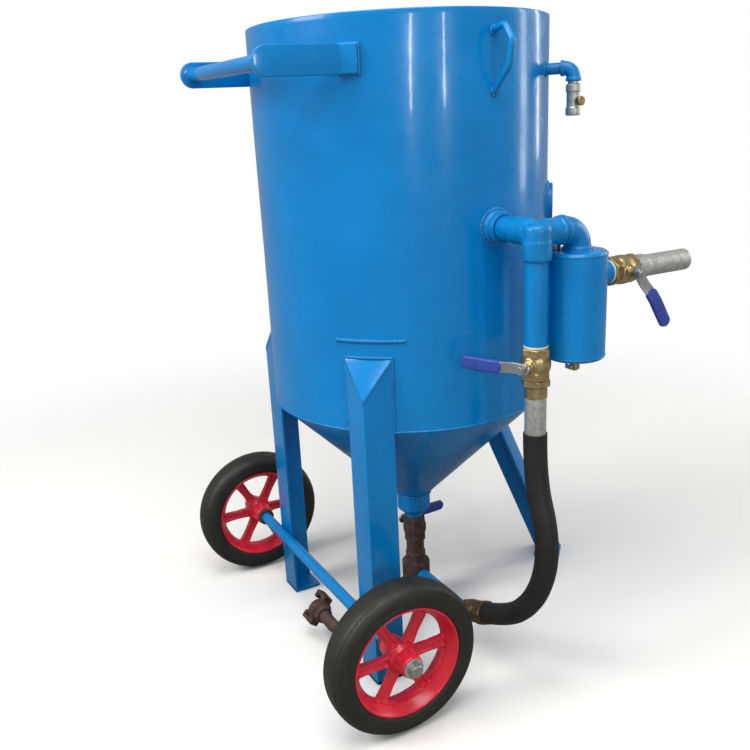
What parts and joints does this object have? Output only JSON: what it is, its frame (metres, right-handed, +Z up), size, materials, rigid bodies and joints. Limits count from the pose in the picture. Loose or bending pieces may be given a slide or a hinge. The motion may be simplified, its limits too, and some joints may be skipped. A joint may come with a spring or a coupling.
{
  "type": "portable abrasive blasting pot",
  "caption": "Wheeled abrasive blasting pot: open filling hopper over a coned pressure tank, push handle, moisture separator, lever valves, air hose and claw hose coupling.",
  "frame": {"origin": "centre of the footprint, on the floor", "axes": "+Z up, +X along the wheel axle towards the air piping, +Y away from the push handle"},
  "size_m": [0.915, 0.8635, 1.3],
  "materials": {
    "tank_paint": "gloss enamel sprayed over welded steel",
    "wheel_paint": "gloss red enamel on cast wheel centre",
    "tyre_rubber": "moulded solid rubber",
    "valve_brass": "forged brass, as machined",
    "ball_chrome": "plated valve ball",
    "galvanised": "zinc plated steel",
    "grip_vinyl": "dipped vinyl",
    "hose_rubber": "cloth-wrapped black rubber hose",
    "seal_rubber": "moulded rubber",
    "cast_iron": "cast iron with a brown rust bloom"
  },
  "bodies": {
    "root": {"air_hose": "hose_rubber", "axle": "tank_paint", "axle_collars": "galvanised", "axle_washers": "galvanised", "bottom_cone": "tank_paint", "claw_coupling": "cast_iron", "corner_fitting": "tank_paint", "coupling_seal": "seal_rubber", "drain_cock": "valve_brass", "drop_pipe": "tank_paint", "far_leg": "tank_paint", "feed_pipe": "tank_paint", "filler_ring": "tank_paint", "filler_seal": "seal_rubber", "handle_arms": "tank_paint", "handle_bar": "tank_paint", "hopper_head": "tank_paint", "hose_ferrule": "valve_brass", "hose_tail": "galvanised", "hose_valve_body": "valve_brass", "inlet_boss": "tank_paint", "inlet_tail": "galvanised", "inlet_valve_body": "valve_brass", "inspection_boss": "tank_paint", "inspection_plug": "tank_paint", "lifting_loop": "tank_paint", "mixing_chamber": "cast_iron", "near_leg": "tank_paint", "outlet_neck": "tank_paint", "outlet_pipe": "cast_iron", "popup_pipe": "tank_paint", "rear_leg": "tank_paint", "reducer": "tank_paint", "sand_valve_body": "cast_iron", "separator_body": "tank_paint", "separator_elbow": "tank_paint", "separator_plug": "galvanised", "split_pins": "galvanised", "tank_shell": "tank_paint", "union_nut": "valve_brass", "valve_union": "valve_brass", "vent_elbow": "tank_paint", "vent_pipe": "tank_paint", "vent_valve_body": "galvanised"},
    "near_wheel": {"near_rim": "wheel_paint", "near_tyre": "tyre_rubber"},
    "far_wheel": {"far_rim": "wheel_paint", "far_tyre": "tyre_rubber"},
    "inlet_handle": {"inlet_ball": "ball_chrome", "inlet_lever": "galvanised", "inlet_grip": "grip_vinyl"},
    "hose_handle": {"hose_ball": "ball_chrome", "hose_lever": "galvanised", "hose_grip": "grip_vinyl"},
    "sand_handle": {"sand_ball": "ball_chrome", "sand_lever": "galvanised", "sand_grip": "grip_vinyl"},
    "vent_plug": {"vent_knob": "valve_brass"},
    "drain_key": {"drain_wing": "galvanised"},
    "popup": {"popup_valve": "seal_rubber"}
  },
  "joints": [
    {"name": "near_wheel_spin", "type": "hinge", "parent": "root", "child": "near_wheel", "pos_m": [0.345, -0.27675, 0.155], "axis": [1, 0, 0], "continuous": true},
    {"name": "far_wheel_spin", "type": "hinge", "parent": "root", "child": "far_wheel", "pos_m": [-0.396, -0.27675, 0.155], "axis": [1, 0, 0], "continuous": true},
    {"name": "inlet_valve_turn", "type": "hinge", "parent": "root", "child": "inlet_handle", "pos_m": [0.3915, 0.1977, 0.837], "axis": [1, 0, 0], "range_deg": [-30, 60]},
    {"name": "hose_valve_turn", "type": "hinge", "parent": "root", "child": "hose_handle", "pos_m": [0.3915, 0.0017, 0.692], "axis": [0.342, -0.9397, 0], "range_deg": [0, 90]},
    {"name": "sand_valve_turn", "type": "hinge", "parent": "root", "child": "sand_handle", "pos_m": [-0.0255, -0.0203, 0.192], "axis": [-1, 0, 0], "range_deg": [0, 90]},
    {"name": "vent_turn", "type": "hinge", "parent": "root", "child": "vent_plug", "pos_m": [0.24805, 0.20122, 1.139], "axis": [1, 0, 0], "range_deg": [0, 90]},
    {"name": "drain_turn", "type": "hinge", "parent": "root", "child": "drain_key", "pos_m": [0.3915, 0.0927, 0.671], "axis": [0, 1, 0], "range_deg": [0, 90]},
    {"name": "popup_slide", "type": "slide", "parent": "root", "child": "popup", "axis": [0, 0, 1], "range_m": [0, 0.03]}
  ]
}
